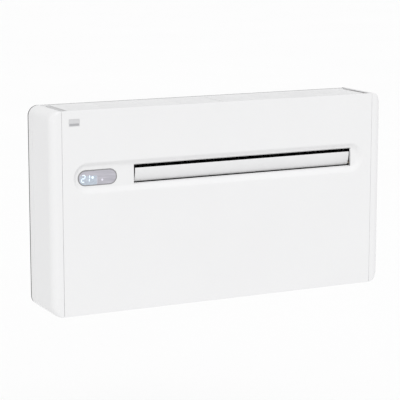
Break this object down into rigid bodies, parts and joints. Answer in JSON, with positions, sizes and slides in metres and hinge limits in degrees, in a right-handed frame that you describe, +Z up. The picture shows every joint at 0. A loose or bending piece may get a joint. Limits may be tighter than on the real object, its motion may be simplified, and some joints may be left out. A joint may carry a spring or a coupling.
{
  "type": "heat recovery unit",
  "caption": "Flat wall-hung heat recovery unit with rounded end caps, a dished front with a flapped air outlet and a small oval display, and a grilled top.",
  "frame": {"origin": "on the wall plane, at the middle of the unit's width and height", "axes": "+X to the right as seen from the room, +Y into the wall, +Z up"},
  "size_m": [1.01, 0.165, 0.549],
  "materials": {
    "white_shell": "fine satin moulded white",
    "deck_plastic": "satin moulded, faint lengthwise grain",
    "grille_plastic": "satin moulded",
    "flap_plastic": "satin moulded",
    "zinc_sheet": "zinc-coated sheet with a faint spangle",
    "bracket_steel": "powder-coated dark grey",
    "spring_steel": "plain spring steel",
    "screw_steel": "zinc-plated",
    "seal_foam": "closed-cell foam",
    "insulation_foam": "closed-cell foam mat",
    "emblem_metal": "satin grey",
    "filter_plastic": "moulded dark grey",
    "filter_fleece": "pleated filter fleece",
    "exchanger_foil": "bright rolled foil",
    "inner_plastic": "moulded black",
    "guard_plastic": "moulded black",
    "fan_plastic": "moulded dark grey",
    "damper_plastic": "moulded mid grey",
    "actuator_plastic": "moulded dark blue-grey",
    "tray_plastic": "vacuum-formed grey",
    "port_plastic": "moulded grey",
    "motor_metal": "satin dark grey",
    "bush_brass": "turned",
    "display_glass": "smoked lilac-grey glass, polished",
    "bezel_plastic": "gloss black",
    "circuit_board": "lacquered green board",
    "control_plastic": "moulded dark grey",
    "gland_plastic": "moulded black",
    "lead_rubber": "sheathed lead"
  },
  "bodies": {
    "casing": {"front_panel": "white_shell", "left_end_cap": "white_shell", "right_end_cap": "white_shell", "top_frame": "deck_plastic", "bottom_cover": "deck_plastic", "back_pan": "zinc_sheet", "wall_bracket": "bracket_steel", "rear_seals": "seal_foam", "panel_clips": "spring_steel", "emblem": "emblem_metal", "housing_screws": "screw_steel", "exchanger_plates": "exchanger_foil", "exchanger_rails": "exchanger_foil", "exchanger_ends": "zinc_sheet", "left_partition": "inner_plastic", "right_partition": "inner_plastic", "hinge_pins": "screw_steel", "damper_actuators": "actuator_plastic", "condensate_tray": "tray_plastic", "drain_nozzle": "tray_plastic", "supply_deck": "inner_plastic", "front_insulation": "insulation_foam", "supply_motor": "motor_metal", "plain_bushes": "bush_brass", "fan_end_plates": "zinc_sheet", "scroll_housing": "inner_plastic", "stabiliser": "inner_plastic", "outlet_nozzle": "inner_plastic", "outlet_guard": "guard_plastic", "flap_motor": "motor_metal", "fan_bulkhead": "zinc_sheet", "inlet_ring": "fan_plastic", "exhaust_motor": "motor_metal", "motor_cradle": "inner_plastic", "fresh_port_collar": "port_plastic", "exhaust_port_collar": "port_plastic", "fresh_filter": "filter_fleece", "display_lens": "display_glass", "display_bezel": "bezel_plastic", "display_board": "circuit_board", "control_box": "control_plastic", "control_lid": "control_plastic", "main_board": "circuit_board", "cable_gland": "gland_plastic", "motor_lead": "lead_rubber", "temperature_probes": "screw_steel"},
    "left_filter": {"left_intake_grille": "grille_plastic", "left_filter_frame": "filter_plastic", "left_filter_media": "filter_fleece"},
    "right_filter": {"right_intake_grille": "grille_plastic", "right_filter_frame": "filter_plastic", "right_filter_media": "filter_fleece"},
    "flap": {"outlet_flap": "flap_plastic"},
    "supply_rotor": {"supply_impeller": "fan_plastic"},
    "exhaust_rotor": {"exhaust_impeller": "fan_plastic"},
    "damper": {"recirculation_damper": "damper_plastic"},
    "fresh_blade_left": {"fresh_shutter_left": "damper_plastic"},
    "fresh_blade_right": {"fresh_shutter_right": "damper_plastic"},
    "exhaust_blade_left": {"exhaust_shutter_left": "damper_plastic"},
    "exhaust_blade_right": {"exhaust_shutter_right": "damper_plastic"}
  },
  "joints": [
    {"name": "outlet_flap_hinge", "type": "hinge", "parent": "casing", "child": "flap", "pos_m": [0.07, -0.1465, 0.078], "axis": [1, 0, 0], "range_deg": [0, 75]},
    {"name": "supply_fan_spin", "type": "hinge", "parent": "casing", "child": "supply_rotor", "pos_m": [0.0665, -0.08, 0.11], "axis": [1, 0, 0], "continuous": true},
    {"name": "exhaust_fan_spin", "type": "hinge", "parent": "casing", "child": "exhaust_rotor", "pos_m": [0.191, -0.082, -0.178], "axis": [1, 0, 0], "continuous": true},
    {"name": "left_filter_slide", "type": "slide", "parent": "casing", "child": "left_filter", "axis": [0, 0, 1], "range_m": [0, 0.06]},
    {"name": "right_filter_slide", "type": "slide", "parent": "casing", "child": "right_filter", "axis": [0, 0, 1], "range_m": [0, 0.06]},
    {"name": "recirculation_damper_hinge", "type": "hinge", "parent": "casing", "child": "damper", "pos_m": [-0.204, -0.086, -0.078], "axis": [0, 1, 0], "range_deg": [0, 70]},
    {"name": "fresh_shutter_left_hinge", "type": "hinge", "parent": "casing", "child": "fresh_blade_left", "pos_m": [-0.33, -0.04, -0.172], "axis": [0, 0, 1], "range_deg": [0, 70]},
    {"name": "fresh_shutter_right_hinge", "type": "hinge", "parent": "casing", "child": "fresh_blade_right", "pos_m": [-0.33, -0.04, -0.172], "axis": [0, 0, 1], "range_deg": [-70, 0]},
    {"name": "exhaust_shutter_left_hinge", "type": "hinge", "parent": "casing", "child": "exhaust_blade_left", "pos_m": [0.33, -0.04, -0.172], "axis": [0, 0, 1], "range_deg": [0, 70]},
    {"name": "exhaust_shutter_right_hinge", "type": "hinge", "parent": "casing", "child": "exhaust_blade_right", "pos_m": [0.33, -0.04, -0.172], "axis": [0, 0, 1], "range_deg": [-70, 0]}
  ],
  "couplings": [
    {"joint": "fresh_shutter_right_hinge", "follows": "fresh_shutter_left_hinge", "ratio": -1},
    {"joint": "exhaust_shutter_right_hinge", "follows": "exhaust_shutter_left_hinge", "ratio": -1}
  ]
}
